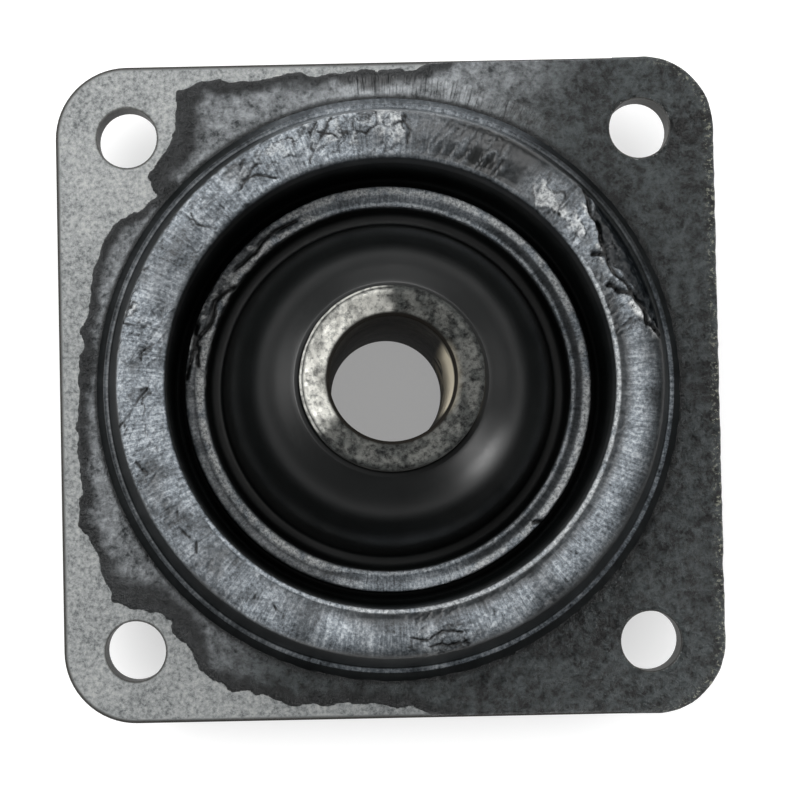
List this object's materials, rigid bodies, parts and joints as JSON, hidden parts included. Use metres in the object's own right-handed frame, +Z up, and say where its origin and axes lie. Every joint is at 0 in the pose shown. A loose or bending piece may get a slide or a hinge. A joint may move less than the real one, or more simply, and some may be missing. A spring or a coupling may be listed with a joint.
{
  "type": "engine mount",
  "caption": "Square-flange rubber engine mount: a steel plate with bolt holes and a steel centre sleeve bonded in a moulded rubber dome and ring, worn and torn.",
  "frame": {"origin": "on the sleeve's axis, in the seat plane: the underside of the flange plate, at the centre of the bolt pattern", "axes": "+Z up along the sleeve, towards the dome and the ring; +X and +Y along the plate's sides"},
  "size_m": [0.0771, 0.0768, 0.031],
  "materials": {
    "plate_steel": "bare pressed steel, dull, stained and speckled",
    "rubber": "satin black moulded rubber, scuffed, flaked and torn",
    "sleeve_steel": "turned steel, end face worn bright"
  },
  "bodies": {
    "root": {"flange_plate": "plate_steel", "rubber_body": "rubber", "centre_sleeve": "sleeve_steel"}
  },
  "joints": []
}
